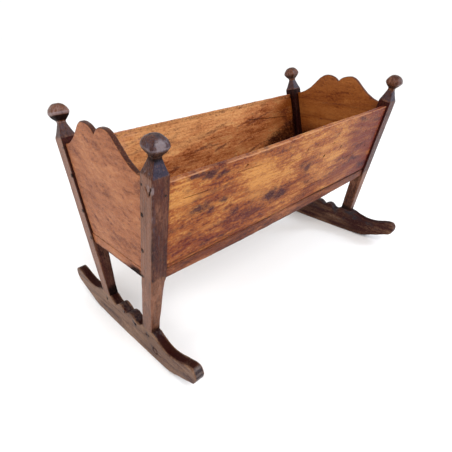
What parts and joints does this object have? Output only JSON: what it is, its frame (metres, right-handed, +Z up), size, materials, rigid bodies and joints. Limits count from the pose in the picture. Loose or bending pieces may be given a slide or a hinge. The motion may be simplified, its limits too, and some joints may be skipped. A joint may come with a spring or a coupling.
{
  "type": "baby cradle",
  "caption": "Old pine rocking cradle: splayed board sides and scalloped end panels pegged between corner posts with carved ball finials, standing on shaped rockers.",
  "frame": {"origin": "on the floor, under the middle of the cradle, at the bottom centre of its bounding box", "axes": "+X along the cradle towards the right-hand end, +Y across it towards the back side board, +Z up"},
  "size_m": [0.9678, 0.596, 0.5957],
  "materials": {
    "post": "old waxed softwood, dark and worn",
    "rocker": "old waxed softwood, dark and scuffed",
    "panel": "waxed pine, dull pinkish brown",
    "board": "waxed pine, warm orange brown with dark stains",
    "rail": "waxed pine, reddish brown",
    "floor": "bare aged pine",
    "peg": "dark hardwood end grain"
  },
  "bodies": {
    "root": {"post_left_front": "post", "post_left_back": "post", "post_right_front": "post", "post_right_back": "post", "rocker_left": "rocker", "rocker_right": "rocker", "end_panel_left": "panel", "end_rail_left": "rail", "end_panel_right": "panel", "end_rail_right": "rail", "side_board_front": "board", "side_rail_front": "rail", "side_board_back": "board", "side_rail_back": "rail", "floor_board_front": "floor", "floor_board_middle": "floor", "floor_board_back": "floor", "floor_batten_left": "rail", "floor_batten_middle": "rail", "floor_batten_right": "rail", "panel_peg_left_front_1": "peg", "panel_peg_left_front_2": "peg", "panel_peg_left_front_3": "peg", "panel_peg_left_front_4": "peg", "panel_peg_left_back_1": "peg", "panel_peg_left_back_2": "peg", "panel_peg_left_back_3": "peg", "panel_peg_left_back_4": "peg", "panel_peg_right_front_1": "peg", "panel_peg_right_front_2": "peg", "panel_peg_right_front_3": "peg", "panel_peg_right_front_4": "peg", "panel_peg_right_back_1": "peg", "panel_peg_right_back_2": "peg", "panel_peg_right_back_3": "peg", "panel_peg_right_back_4": "peg", "side_peg_left_front_1": "peg", "side_peg_left_front_2": "peg", "side_peg_left_back_1": "peg", "side_peg_left_back_2": "peg", "side_peg_right_front_1": "peg", "side_peg_right_front_2": "peg", "side_peg_right_back_1": "peg", "side_peg_right_back_2": "peg", "foot_peg_left_front": "peg", "foot_peg_left_back": "peg", "foot_peg_right_front": "peg", "foot_peg_right_back": "peg", "rocker_plug": "peg"}
  },
  "joints": []
}
